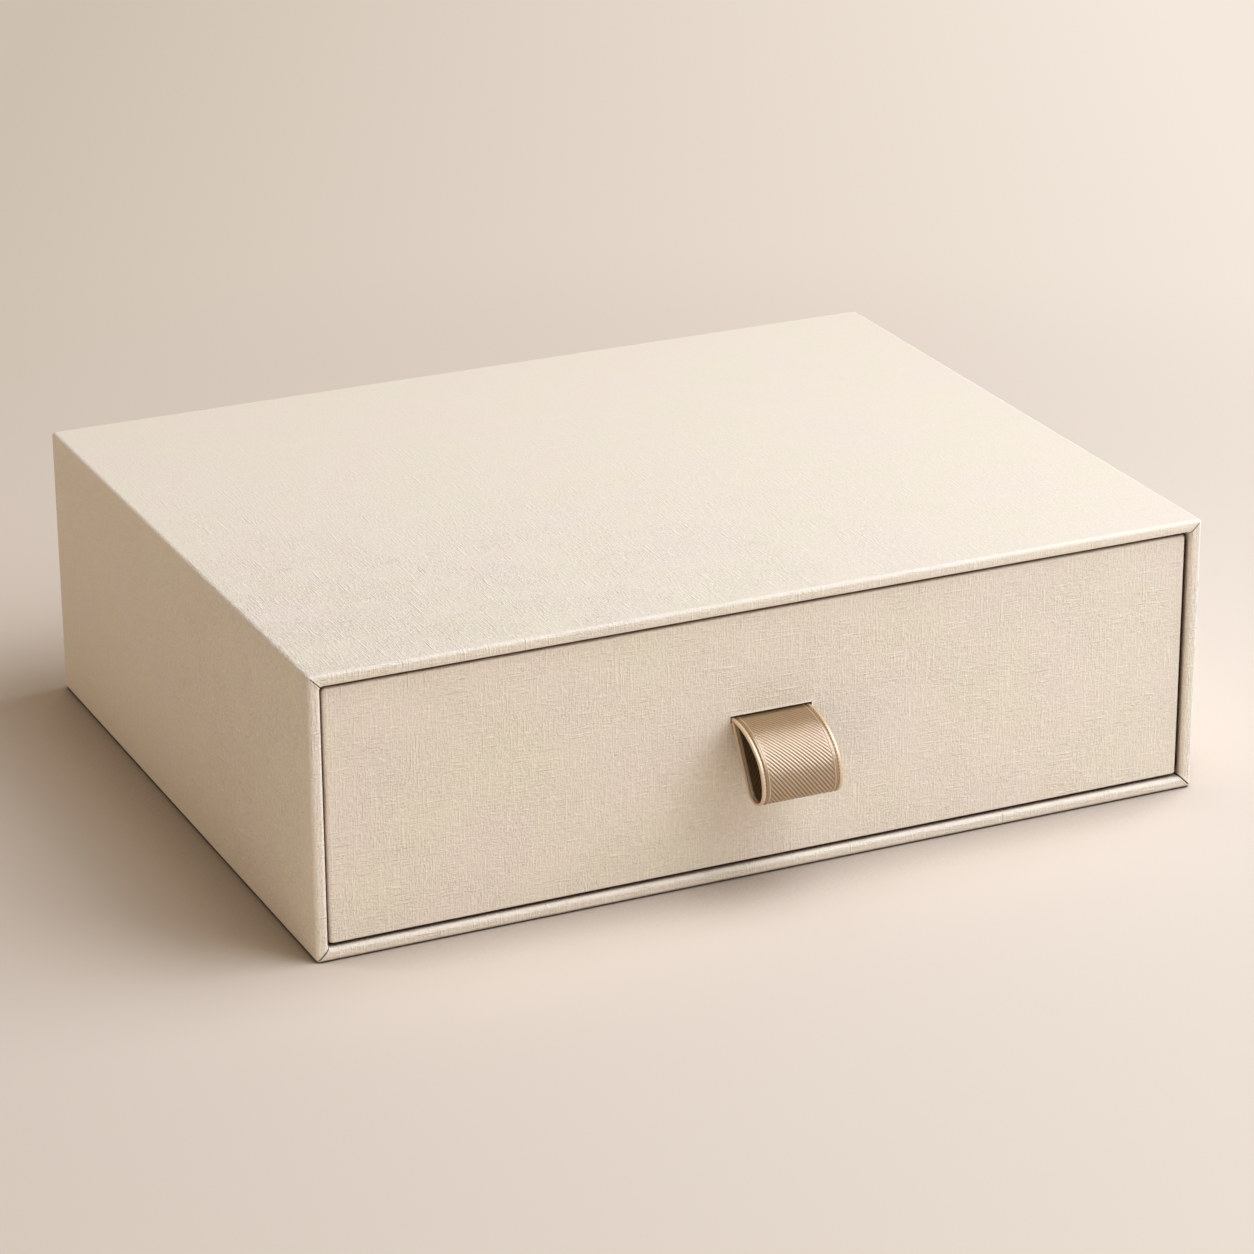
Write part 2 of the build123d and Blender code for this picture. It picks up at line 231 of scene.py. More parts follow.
linenLook = {
    "base": tone(239, 230, 215),
    "rose": tone(240, 230, 217),  # the paper's faint warm and cool clouds
    "straw": tone(238, 231, 213),
    "thread": 0.52,  # millimetres across a fine embossed thread
    "threadRun": 2.2,  # and along it
    "slub": 0.53,  # the thicker threads that come and go
    "slubRun": (12.0, 9.0),  # down the sheet and across it
    "slubDepth": 11.0,
    "patch": (0.08, 0.064, 1),  # patches per millimetre in which one way of threads stands out
    "patchSplit": (0.40, 0.60),  # where one way gives over to the other
    "patchDown": (0.45, 0.80),  # how strong the threads down the sheet are on each side of it
    "patchAcross": (0.98, 0.65),
    "quietPatch": (0.056, 0.072, 1),
    "quietSplit": (0.36, 0.58),
    "quiet": (0.80, 1.14),  # how deep the pattern is pressed in quiet and in busy patches
    "grain": (1.7, 1.7, 1),  # fine pressed grains per millimetre
    "grainShare": 0.9,
    "contrast": 0.13,
    "depth": 0.00026,
    "mottle": 0.02,
    "mottlePitch": (0.03, 0.03, 1),  # clouds per millimetre
    "mottleSplit": (-0.12, 0.12),
    "speck": (1.9, 1.9, 1),  # pale specks per millimetre
    "speckSplit": (0.62, 0.70),
    "speckLift": 0.11,
    "edgeWearAndHighlight": tone(253, 247, 237),  # paper rubbed pale along the drawn-over edges, partly a painted highlight on their rounds
    "edgeWearAndHighlightSplit": (0.35, 0.65),
    "edgeWearAndHighlightShare": (0.35, 0.9),
    "paintedCreviceShade": tone(44, 23, 11),  # painted shade in the gap, the slit and the open mitres
    "paintedFringeShade": tone(150, 104, 72),  # paler painted shade beside it
    "creviceReach": 0.0023,
    "roughness": 0.75,
    "shine": 0.06,
}

# how open a spot is at both ends of a shade, and the shade's strength at the closed end
creviceSet = {"paintedFringeShade": (0.28, 0.60, 0.8), "paintedCreviceShade": (0.07, 0.34, 1.0)}


def creviceShade(tree, colour, paintedCreviceShade, paintedFringeShade, reach):
    # painted shade: the colour darkens where papers nearly meet
    room = openRoom(tree, reach)
    for shade, s in ((paintedFringeShade, creviceSet["paintedFringeShade"]), (paintedCreviceShade, creviceSet["paintedCreviceShade"])):
        colour = mixTone(tree, spread(tree, room, *s, 0.0), colour, shade)
    return colour


def linenPaper(s):
    material, tree, shader = newFinish("linenPaper", s["base"], s["roughness"], s["shine"])
    place = sheetPlace(tree)
    thread, slub = 1 / s["thread"], 1 / s["slub"]
    run, (downSlub, acrossSlub) = 1 / s["threadRun"], s["slubRun"]
    grain = addSwing(tree, place, s["grain"], rough=0.7)
    relief = addMath(tree, "MULTIPLY", grain, s["grainShare"])
    # threads down the sheet and across it take turns in patches
    patches = addNoise(tree, place, s["patch"])
    ways = (
        ("patchDown", (thread, run, 1), (slub, 1 / downSlub, 1)),
        ("patchAcross", (run, thread, 1), (1 / acrossSlub, slub, 1)),
    )
    for way, fineStretch, slubStretch in ways:
        weight = spread(tree, patches, *s["patchSplit"], *s[way])
        fine = addSwing(tree, place, fineStretch, detail=1.0, rough=0.6)
        strong = addSwing(tree, place, slubStretch, detail=1.0)
        strong = addMath(tree, "MAXIMUM", strong, 0.0)  # thicker threads only, with no grooves
        strong = addMath(tree, "MULTIPLY", strong, strong)
        strong = addMath(tree, "MULTIPLY", strong, s["slubDepth"])
        both = addMath(tree, "ADD", fine, strong)
        relief = addMath(tree, "MULTIPLY_ADD", both, weight, relief)
    # the pattern is pressed less deep in quiet patches and where the sheet was rubbed down
    quiet = addNoise(tree, place, s["quietPatch"], detail=1.0)
    relief = addMath(tree, "MULTIPLY", relief, spread(tree, quiet, *s["quietSplit"], *s["quiet"]))
    pressed = addNode(tree, "Attribute", attribute_name="embossShare").outputs["Fac"]
    relief = addMath(tree, "MULTIPLY", relief, pressed)
    # colour: threads catch a little more light, with faint clouds and a few pale specks
    mottle = addSwing(tree, place, s["mottlePitch"], detail=3.0)
    lift = addMath(tree, "MULTIPLY_ADD", relief, s["contrast"] * 2, 1.0)
    lift = addMath(tree, "MULTIPLY_ADD", mottle, s["mottle"] * 2, lift)
    speck = addNoise(tree, place, s["speck"], detail=1.0)
    specks = spread(tree, speck, *s["speckSplit"])
    lift = addMath(tree, "MULTIPLY_ADD", specks, s["speckLift"], lift)
    clouded = mixTone(tree, spread(tree, mottle, *s["mottleSplit"]), s["rose"], s["straw"])
    colour = mixTone(tree, 1.0, clouded, greyShade(tree, lift), "MULTIPLY")
    # the drawn-over edges lighter: rubbed paper and a painted highlight
    edge = addNode(tree, "Attribute", attribute_name="drawnEdge").outputs["Fac"]
    uneven = spread(tree, speck, *s["edgeWearAndHighlightSplit"], *s["edgeWearAndHighlightShare"])
    colour = mixTone(tree, addMath(tree, "MULTIPLY", edge, uneven), colour, s["edgeWearAndHighlight"])
    # painted shade in the gaps, the slit and the open mitres
    colour = creviceShade(tree, colour, s["paintedCreviceShade"], s["paintedFringeShade"], s["creviceReach"])
    tree.links.new(colour, shader.inputs["Base Color"])
    setBump(tree, shader, relief, s["depth"])
    return material


liningLook = {
    "base": tone(238, 228, 212),
    "fibre": 0.03,
    "fibrePitch": (900, 900, 900),  # fibres per metre
    "cloud": 0.05,
    "cloudPitch": (35, 35, 35),
    "depth": 0.00003,
    "roughness": 0.8,
    "shine": 0.2,
}


def liningPaper(s):
    material, tree, shader = newFinish("liningPaper", s["base"], s["roughness"], s["shine"])
    place = objectPlace(tree)
    fibre = addSwing(tree, place, s["fibrePitch"], detail=3.0, rough=0.6, twist=0.6)
    cloud = addSwing(tree, place, s["cloudPitch"], detail=3.0)
    lift = addMath(tree, "MULTIPLY_ADD", fibre, s["fibre"] * 2, 1.0)
    lift = addMath(tree, "MULTIPLY_ADD", cloud, s["cloud"], lift)
    colour = mixTone(tree, 1.0, s["base"], greyShade(tree, lift), "MULTIPLY")
    tree.links.new(colour, shader.inputs["Base Color"])
    setBump(tree, shader, fibre, s["depth"])
    return material


boardLook = {
    "base": tone(168, 156, 138),
    "pale": tone(196, 187, 170),
    "pulpPitch": (420, 420, 420),  # per metre
    "pulpSplit": (0.35, 0.65),
    "fleck": tone(118, 104, 88),
    "fleckPitch": (1300, 1300, 700),
    "fleckSplit": (0.64, 0.7),
    # painted shade where the board shows in gaps and the slit
    "paintedShade": tone(50, 27, 14),
    "paintedShadeReach": 0.003,
    "depth": 0.00008,
    "roughness": 0.9,
    "shine": 0.05,
}


def greyboard(s):
    material, tree, shader = newFinish("greyboard", s["base"], s["roughness"], s["shine"])
    place = objectPlace(tree)
    pulp = addNoise(tree, place, s["pulpPitch"], detail=4.0, rough=0.65, twist=0.8)
    colour = mixTone(tree, spread(tree, pulp, *s["pulpSplit"]), s["base"], s["pale"])
    fleck = addNoise(tree, place, s["fleckPitch"], twist=1.5)
    colour = mixTone(tree, spread(tree, fleck, *s["fleckSplit"]), colour, s["fleck"])
    # painted shade, darker where surfaces nearly meet
    colour = creviceShade(tree, colour, s["paintedShade"], s["paintedShade"], s["paintedShadeReach"])
    tree.links.new(colour, shader.inputs["Base Color"])
    setBump(tree, shader, pulp, s["depth"])
    return material


tapeLook = {
    "base": tone(188, 150, 106),
    "strand": tone(164, 124, 82),
    "strandPitch": (90, 900, 700),  # per metre
    "strandSplit": (0.4, 0.65),
    "depth": 0.00003,
    "roughness": 0.55,
    "shine": 0.3,
}


def kraftTape(s):
    material, tree, shader = newFinish("kraftTape", s["base"], s["roughness"], s["shine"])
    place = objectPlace(tree)
    strand = addNoise(tree, place, s["strandPitch"], detail=3.0, rough=0.6, twist=1.2)
    colour = mixTone(tree, spread(tree, strand, *s["strandSplit"]), s["base"], s["strand"])
    tree.links.new(colour, shader.inputs["Base Color"])
    setBump(tree, shader, strand, s["depth"])
    return material


# Ribbon finishes

ribbonLook = {
    "paintedValleyShade": tone(52, 30, 11),
    "roughness": 0.27,
    "shine": 1.0,
    "bend": 1.75,  # index of refraction, high for a bright satin shine
    "sheen": 0.15,
    "sheenRoughness": 0.4,
    "sheenTint": (1.0, 0.92, 0.76, 1),
    "unevenPitch": (0.25, 0.12, 1),
    "uneven": 0.16,
    "depth": 0.00003,
}

twillLook = {
    "name": "ribbonTwill",
    "crest": tone(186, 152, 104),
    "silk": 0.25,  # how far the shine takes the thread's own colour
    "threadPitch": (5.5, 0.9, 1),  # per millimetre
    "threadShare": 0.5,
    "split": (0.08, 1.0),  # from the painted shade in the valleys to the crests' tone
}

rollLook = {
    "name": "ribbonEdge",
    "crest": tone(218, 188, 150),
    "silk": 0.15,
    "threadPitch": (1.2, 6.0, 1),
    "threadShare": 0.6,
    "split": (-0.1, 0.7),
}


def satin(s, part):
    material, tree, shader = newFinish(part["name"], part["crest"], s["roughness"], s["shine"])
    place = sheetPlace(tree)
    crest = addNode(tree, "Attribute", attribute_name="ribCrest").outputs["Fac"]
    thread = addSwing(tree, place, part["threadPitch"], rough=0.6)
    uneven = addSwing(tree, place, s["unevenPitch"])
    depth = addMath(tree, "MULTIPLY_ADD", thread, part["threadShare"], crest)
    # rib valleys and stitches take a painted shade, the crests the ribbon's colour
    colour = mixTone(tree, spread(tree, depth, *part["split"]), s["paintedValleyShade"], part["crest"])
    lift = addMath(tree, "MULTIPLY_ADD", uneven, s["uneven"], 1.0)
    colour = mixTone(tree, 1.0, colour, greyShade(tree, lift), "MULTIPLY")
    tree.links.new(colour, shader.inputs["Base Color"])
    shader.inputs["Metallic"].default_value = part["silk"]
    shader.inputs["IOR"].default_value = s["bend"]
    shader.inputs["Sheen Weight"].default_value = s["sheen"]
    shader.inputs["Sheen Roughness"].default_value = s["sheenRoughness"]
    shader.inputs["Sheen Tint"].default_value = s["sheenTint"]
    setBump(tree, shader, thread, s["depth"])
    return material


# Meshes


def finishObject(name, bm, materials):
    mesh = bpy.data.meshes.new(name)
    bm.to_mesh(mesh)
    bm.free()
    for material in materials:
        mesh.materials.append(material)
    mesh.polygons.foreach_set("use_smooth", [True] * len(mesh.polygons))
    piece = bpy.data.objects.new(name, mesh)
    bpy.context.scene.collection.objects.link(piece)
    return piece


def gridFaces(bm, layers, points, flat, edge, outward, keep=None, emboss=None):
    # a grid of quads from rows of points in millimetres, its outer face outward
    uvLayer, edgeLayer, embossLayer = layers
    rows, columns = points.shape[:2]
    shares = np.ones((rows, columns)) if emboss is None else emboss(points)
    verts = [[bm.verts.new(points[i, j] * mm) for j in range(columns)] for i in range(rows)]
    for i in range(rows):
        for j in range(columns):
            verts[i][j][edgeLayer] = float(edge[i, j])
            verts[i][j][embossLayer] = float(shares[i, j])
    # every quad turns the same way round, so one that lies farthest out tells how all of them face
    outward = np.array(outward, float)
    down, across = points[1:, :-1] - points[:-1, :-1], points[:-1, 1:] - points[:-1, :-1]
    turns = np.cross(down, across) @ outward
    farOut = (points @ outward)[:-1, :-1] > (points @ outward).max() - skin
    flipped = turns[farOut][np.argmax(np.abs(turns[farOut]))] < 0
    for i in range(rows - 1):
        for j in range(columns - 1):
            if keep is not None and not keep[i, j]:
                continue
            corners = [(i, j), (i + 1, j), (i + 1, j + 1), (i, j + 1)]
            if flipped:
                corners.reverse()
            spots = {tuple(np.round(points[a, b], 4)) for a, b in corners}
            if len(spots) < len(corners):  # pinched shut at a mitre
                continue
            face = bm.faces.new([verts[a][b] for a, b in corners])
            for loop, (a, b) in zip(face.loops, corners):
                loop[uvLayer].uv = flat[a, b]


def newSheetMesh():
    bm = bmesh.new()
    edgeLayer = bm.verts.layers.float.new("drawnEdge")
    embossLayer = bm.verts.layers.float.new("embossShare")
    return bm, (bm.loops.layers.uv.new("flatSheet"), edgeLayer, embossLayer)


def finishPaper(name, bm, thickness):  # join the grids into one sheet and give it its thickness
    bmesh.ops.remove_doubles(bm, verts=bm.verts, dist=weld * mm)
    loose = [v for v in bm.verts if not v.link_faces]
    bmesh.ops.delete(bm, geom=loose, context="VERTS")
    piece = finishObject(name, bm, [linen])
    sheet = piece.modifiers.new("paperThickness", "SOLIDIFY")
    sheet.thickness, sheet.offset = thickness * mm, -1
    return piece


# Cover papers: one profile across each edge that a sheet is drawn over, swept along the walls

sweepSet = {
    "arcSteps": 6,  # flats round each drawn edge and each corner
    "support": 0.3,  # from an edge to the first row beside it, and three times that to the next
    "closest": 0.04,  # rows nearer to each other than this are one row
    "columnStep": 9,
    "beside": (0.3, 0.8, 1.6, 3, 6, 11),  # columns beside each corner
    "zone": 18.0,  # from a mitre to where the even columns start
    "zoneClear": 0.5,
    "zoneShare": 0.98,  # the most that the marks beside a mitre take of half a wall
    "leastRadius": 0.02,  # of a corner far behind the outer face
}


def drawnProfile(corners, radii, step, stops=()):
    # rows along a sheet: how deep behind the outer face, how far along the box,
    # the length on the sheet, the way out, and how much of a drawn edge it is
    arcSteps, support = sweepSet["arcSteps"], sweepSet["support"]
    corners = [np.array(c, float) for c in corners]
    rows = []

    def straight(a, b, edgeStart, edgeEnd):
        length = np.linalg.norm(b - a)
        marks = [support, support * 3] if edgeStart else []
        marks += [length - support * 3, length - support] if edgeEnd else []
        low, high = (marks[1] if edgeStart else 0), (length - support * 3 if edgeEnd else length)
        marks += list(np.linspace(low, high, max(2, int((high - low) / step) + 1)))
        way = (b - a) / length
        onWay = [float(np.dot(np.array(stop) - a, way)) for stop in stops]
        marks += [mark for mark in onWay if 0 < mark < length]
        marks += [] if edgeStart else [0.0]
        marks += [] if edgeEnd else [length]
        kept = []
        for mark in sorted(marks):
            if not kept or mark - kept[-1] > sweepSet["closest"]:
                kept.append(mark)
        out = np.array([way[1], -way[0]])
        return [(a + way * mark, out, 0.0) for mark in kept]

    start = corners[0]
    for k, radius in enumerate(radii, 1):
        before, after = corners[k] - corners[k - 1], corners[k + 1] - corners[k]
        before, after = before / np.linalg.norm(before), after / np.linalg.norm(after)
        a, b = corners[k] - before * radius, corners[k] + after * radius
        rows += straight(start, a, k > 1, True)
        centre = a + after * radius
        for m in range(arcSteps + 1):
            angle = math.pi / 2 * m / arcSteps
            out = -after * math.cos(angle) + before * math.sin(angle)
            rows.append((centre + out * radius, out, math.sin(2 * angle)))
        start = b
    rows += straight(start, corners[-1], True, False)
    lengths = np.cumsum([0] + [np.linalg.norm(b[0] - a[0]) for a, b in zip(rows, rows[1:])])
    return [(*spot, length, out, edge) for (spot, out, edge), length in zip(rows, lengths)]


def wallColumns(halfWidth, radius, zone=sweepSet["zone"], stops=()):
    # marks from each mitre inward, and the even ones between as shares of what is left
    s = sweepSet
    arc = radius * math.pi / 4
    near = [arc * k / s["arcSteps"] for k in range(s["arcSteps"] + 1)]
    near += [arc + more for more in s["beside"] if arc + more < zone - s["zoneClear"]] + [zone]
    reach = halfWidth - radius + arc - zone
    count = max(3, int(2 * reach / s["columnStep"]) + 1)
    middle = list(np.linspace(-1, 1, count))[1:-1] if reach > 0 else []
    middle += [stop / reach for stop in stops]
    return near, sorted(middle)


def newWall(out, along, reach, half, start):
    # its way out and along, how far out it is, half its width, and its middle on the sheet
    return {"out": out, "along": along, "reach": reach, "half": half, "start": start}


def sweepWall(form, wall, profile, columns, look):
    # points, flat places and edge shares of one wall's paper, from mitre to mitre
    near, middle = columns
    normal, along, away = (np.array(v, float) for v in (wall["out"], wall["along"], form["away"]))
    centre, radius, zone = np.array(form["centre"], float), form["radius"], near[-1]
    points, flat, edges = [], [], []
    for depth, place, length, out, edge in profile:
        r = max(radius - depth, sweepSet["leastRadius"])
        arc = r * math.pi / 4
        half = wall["half"] - depth
        total = half - r + arc
        gap = look["gap"](depth, place)
        fromMitre = [min(mark, total * sweepSet["zoneShare"]) for mark in near]
        fromMitre = [gap + mark * (zone - gap) / zone for mark in fromMitre]
        marks = [(-1, mark) for mark in fromMitre]
        marks += [(0, share * (total - zone)) for share in middle]
        marks += [(1, mark) for mark in reversed(fromMitre)]
        row, rowFlat, rowEdge = [], [], []
        for side, mark in marks:
            u = side * (total - mark) if side else mark
            if side and mark < arc:  # on the round of the corner
                lean = abs(math.pi / 4 - mark / r)
                way = normal * math.cos(lean) + along * side * math.sin(lean)
                base = normal * (wall["reach"] - depth - r) + along * side * (half - r)
                point, cornerEdge = base + way * r, math.sin(2 * lean)
            else:
                spot = side * (half - r - (mark - arc)) if side else mark
                way, cornerEdge = normal, 0.0
                point = normal * (wall["reach"] - depth) + along * spot
            outWay = way * -out[0] + away * out[1]
            lift = look["lift"](depth, place, mark if side else math.inf, u)
            row.append(centre + point + away * place + outWay * lift)
            rowFlat.append((u + wall["start"], length))
            rowEdge.append(max(edge, cornerEdge))
        points.append(row)
        flat.append(rowFlat)
        edges.append(rowEdge)
    return np.array(points), np.array(flat), np.array(edges)


mouthSet = {
    "halfWidth": 137.5,
    "coverHalf": 41.9,  # half the cover's height, above the base paper
    "coverMiddle": 42.1,
    "baseHalf": 42,  # half the sleeve's height
    "sideStart": 178.0,  # the side walls' middles on the sheet
    "rowStep": 9,
    "radius": 1.2,  # paper drawn over 3 mm board
    "rim": 3.59,  # board, tape and both papers
    "front": -108.0,
    "back": 107.8,
    "turnIn": 18.0,
    "turnOver": 15.0,
    "baseShort": 1.75,  # under the base the sheet stops short of the side edges
    "shortEnds": (0.9, 3.5),
    "seam": 0.1,  # half the open line at a mitre
    "ridge": 0.17,  # the flap's edge stands up over the folds under it
    "paper": 0.2,
}

drawerSet = {
    "radius": 1.5,
    "footRadius": 0.7,
    "topRadius": 1.1,
    "rimRadius": 1.0,
    "rim": 3.09,
    "x": 133.23,
    "y": (-106.5, 103.96),
    "z": (4.47, 79.43),
    "sheetStarts": (0.0, 237.0, 475.0, -237.0),  # front, right, back and left
    "rowStep": 8,
    "turnIn": 12.0,
    "turnOver": 15.0,
    "seam": 0.12,
    "ridge": 0.14,
    "paper": 0.2,
    "slit": (12.65, 47.35, 49.45),  # half width, bottom, top
    "slitDepth": 0.5,
    "lip": 0.28,  # the slit's lips are drawn in round the board's edge
    "lipSteps": (0, 0.1, 0.2, 0.35, 0.5, 0.7, 1.0),
}

seamSet = {
    "opens": (0.35, 0.9),  # how deep behind the outer face a mitre starts to gape
    "rises": (0.3, 1.1),  # and its edges start to stand up
    "fades": (2.0, 7.0),  # how far inside the opening they lie flat again
    "width": 3,  # of the raised strip beside the mitre
    "fold": (0.5, 0.3),  # middle and width of the raised fold
    "dip": (0.6, 0.16),  # how far the cut edge dips, and its width
}


def seamLook(s, opening, deeper):
    # how far flaps stand apart at a mitre and how their edges lift; deeper is 1 or -1, into the box
    (foldMiddle, foldWidth), (dipShare, dipWidth) = seamSet["fold"], seamSet["dip"]

    def gap(depth, place):
        return s["seam"] * float(ease(depth, *seamSet["opens"]))

    def lift(depth, place, fromMitre, u):
        inside = (place - opening) * deeper
        flat = float(ease(inside, *seamSet["fades"]))
        strong = float(ease(depth, *seamSet["rises"])) * (1 - flat)
        if strong <= 0 or fromMitre > seamSet["width"]:
            return 0.0
        fold = math.exp(-(((fromMitre - foldMiddle) / foldWidth) ** 2))
        return s["ridge"] * strong * (fold - dipShare * math.exp(-((fromMitre / dipWidth) ** 2)))

    return {"gap": gap, "lift": lift}


embossSet = {
    "corner": (-137.5, -108.0),  # pressed deepest at the sleeve's front left
    "fade": (216.0, 133.0),  # millimetres across and into the box
    "top": 1.35,
    "topStart": (80, 83.5),  # height at which the sides' share gives way to the top's
    "side": (1.15, 0.5),  # the left and right faces, front and back
    "sideFade": (20, 190),
}


def sleeveEmboss(points):
    s = embossSet
    across, deep = points[..., 0] - s["corner"][0], points[..., 1] - s["corner"][1]
    top = s["top"] * np.exp(-((across / s["fade"][0]) ** 2) - (deep / s["fade"][1]) ** 2)
    front, back = s["side"]
    side = front + (back - front) * ease(deep, *s["sideFade"])
    high = ease(points[..., 2], *s["topStart"])
    return top * high + side * (1 - high)


def mouthProfile(s):  # turned over the back, along the wall, over the rim and into the mouth
    corners = [(s["turnOver"], s["back"]), (0, s["back"]), (0, s["front"]), (s["rim"], s["front"])]
    corners.append((s["rim"], s["front"] + s["turnIn"]))
    return drawnProfile(corners, (s["radius"],) * 3, s["rowStep"])


def sleeveCoverPaper(s):
    bm, layers = newSheetMesh()
    profile, look = mouthProfile(s), seamLook(s, s["front"], 1)
    form = {"centre": (0, 0, s["coverMiddle"]), "radius": s["radius"], "away": (0, 1, 0)}
    wide, high, start = s["halfWidth"], s["coverHalf"], s["sideStart"]
    walls = [
        newWall((-1, 0, 0), (0, 0, 1), wide, high, -start),
        newWall((0, 0, 1), (1, 0, 0), high, wide, 0.0),
        newWall((1, 0, 0), (0, 0, -1), wide, high, start),
    ]
    for wall in walls:
        columns = wallColumns(wall["half"], s["radius"])
        points, flat, edges = sweepWall(form, wall, profile, columns, look)
        gridFaces(bm, layers, points, flat, edges, wall["out"], None, sleeveEmboss)
    # the sides' paper turned under the base, on the outer rows only
    under = newWall((0, 0, -1), (-1, 0, 0), high, wide, 0.0)
    outer = [row for row in profile if row[0] < skin]
    near = wallColumns(wide, s["radius"], s["turnOver"])[0]
    points, flat, edges = sweepWall(form, under, outer, (near, []), look)
    half = len(near)
    for part, shift in ((slice(0, half), 1), (slice(half, 2 * half), -1)):
        bent = flat[:, part].copy()
        bent[..., 0] += shift * (start * 2)
        gridFaces(bm, layers, points[:, part], bent, edges[:, part], under["out"])
    piece = finishPaper("sleeve_cover_paper", bm, s["paper"])
    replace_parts(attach(piece, "sleeve"), "sleeve_cover")


def sleeveBasePaper(s):
    bm, layers = newSheetMesh()
    form = {"centre": (0, 0, s["baseHalf"]), "radius": s["radius"], "away": (0, 1, 0)}
    look = seamLook(s, s["front"], 1)
    seamGap = look["gap"]

    def gap(depth, place):  # on the outer face the sheet stops short of the side edges
        if depth >= skin:
            return seamGap(depth, place)
        inFromEnds = min(place - s["front"], s["back"] - place)
        short = s["baseShort"] * float(ease(inFromEnds, *s["shortEnds"]))
        return max(seamGap(depth, place), short)

    look["gap"] = gap
    wall = newWall((0, 0, -1), (-1, 0, 0), s["baseHalf"], s["halfWidth"], 0.0)
    columns = wallColumns(s["halfWidth"], s["radius"])
    points, flat, edges = sweepWall(form, wall, mouthProfile(s), columns, look)
    gridFaces(bm, layers, points, flat, edges, wall["out"])
    piece = finishPaper("sleeve_base_paper", bm, s["paper"])
    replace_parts(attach(piece, "sleeve"), "sleeve_base_cover")


def drawerCoverPaper(s):
    bm, layers = newSheetMesh()
    low, high = s["z"]
    corners = [(s["turnOver"], low), (0, low), (0, high), (s["rim"], high)]
    corners.append((s["rim"], high - s["turnIn"]))
    radii = (s["footRadius"], s["topRadius"], s["rimRadius"])
    halfWidth, slitLow, slitHigh = s["slit"]
    lipRows = [(0, slitLow - more) for more in s["lipSteps"]]
    lipRows += [(0, slitHigh + more) for more in s["lipSteps"]]
    lipColumns = [side * (halfWidth + more) for side in (-1, 1) for more in s["lipSteps"]]
    middleY, halfY = sum(s["y"]) / 2, (s["y"][1] - s["y"][0]) / 2
    form = {"centre": (0, middleY, 0), "radius": s["radius"], "away": (0, 0, 1)}
    look = seamLook(s, high, -1)

    def frontLift(depth, place, fromMitre, u):  # the slit's lips are pressed in a little
        if depth > skin:
            return look["lift"](depth, place, fromMitre, u)
        above = max(slitLow - place, place - slitHigh, 0)
        beside = max(abs(u) - halfWidth, 0)
        near = max(1 - math.hypot(above, beside) / s["lipSteps"][-2], 0)
        return -s["lip"] * near * near

    front, right, back, left = s["sheetStarts"]
    walls = {
        "front": newWall((0, -1, 0), (1, 0, 0), halfY, s["x"], front),
        "right": newWall((1, 0, 0), (0, 1, 0), s["x"], halfY, right),
        "back": newWall((0, 1, 0), (-1, 0, 0), halfY, s["x"], back),
        "left": newWall((-1, 0, 0), (0, -1, 0), s["x"], halfY, left),
    }
    for name, wall in walls.items():
        slitted = name == "front"
        profile = drawnProfile(corners, radii, s["rowStep"], lipRows if slitted else ())
        columns = wallColumns(wall["half"], s["radius"], stops=lipColumns if slitted else ())
        wallLook = dict(look, lift=frontLift) if slitted else look
        points, flat, edges = sweepWall(form, wall, profile, columns, wallLook)
        keep = None
        if slitted:
            x, y, z = np.moveaxis((points[:-1, :-1] + points[1:, 1:]) / 2, -1, 0)
            hole = (np.abs(x) < halfWidth) & (z > slitLow) & (z < slitHigh)
            keep = ~(hole & (y < s["y"][0] + s["slitDepth"]))
        gridFaces(bm, layers, points, flat, edges, wall["out"], keep)
    piece = finishPaper("drawer_cover_paper", bm, s["paper"])
    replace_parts(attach(piece, "drawer"), "drawer_cover")


panelSet = {
    "sleeve_back_paper": {
        "corner": (135.5, 108.0, 2.0),
        "across": (-271, 0, 0),
        "up": (0, 0, 80),
        "out": (0, 1, 0),
        "body": "sleeve",
        "node": "sleeve_back_cover",
    },
    "drawer_base_paper": {
        "corner": (-131.23, -104.5, 4.27),
        "across": (262.46, 0, 0),
        "up": (0, 206.46, 0),
        "out": (0, 0, -1),
        "body": "drawer",
        "node": "drawer_base_cover",
    },
}

panelEdge = {
    "marks": (0, 0.15, 0.5, 1.2, 3),  # rows beside each cut edge
    "step": 12,
    "pressed": 0.06,  # how far the cut edge is pressed down
    "pressedWidth": 0.6,
    "edgeWearAndHighlight": 0.6,
    "edgeWearAndHighlightWidth": 0.4,
    "paper": 0.2,
}


def paperPanel(name, s):  # a flat glued panel, its cut edges pressed down
    across, up, out = (np.array(s[key], float) for key in ("across", "up", "out"))
    width, height = np.linalg.norm(across), np.linalg.norm(up)
    rim = panelEdge

    def marks(length):
        ends = rim["marks"]
        middle = np.linspace(ends[-1], length - ends[-1], int(length / rim["step"]))[1:-1]
        return [*ends, *middle, *(length - end for end in reversed(ends))]

    us, vs = marks(width), marks(height)
    points = np.zeros((len(vs), len(us), 3))
    flat = np.zeros((len(vs), len(us), 2))
    edges = np.zeros((len(vs), len(us)))
    for i, v in enumerate(vs):
        for j, u in enumerate(us):
            fromEdge = min(u, v, width - u, height - v)
            pressed = rim["pressed"] * (1 - float(ease(fromEdge, 0, rim["pressedWidth"])))
            place = np.array(s["corner"]) + across * u / width + up * v / height
            points[i, j] = place - out * pressed
            flat[i, j] = (u, v)
            # the cut edges lighter: rubbed paper and a painted highlight
            edges[i, j] = rim["edgeWearAndHighlight"] * (1 - float(ease(fromEdge, 0, rim["edgeWearAndHighlightWidth"])))
    bm, layers = newSheetMesh()
    gridFaces(bm, layers, points, flat, edges, out)
    piece = finishPaper(name, bm, rim["paper"] - rim["pressed"])
    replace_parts(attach(piece, s["body"]), s["node"])


# The ribbon: woven flat, then laid along its line through the slit and round the loop

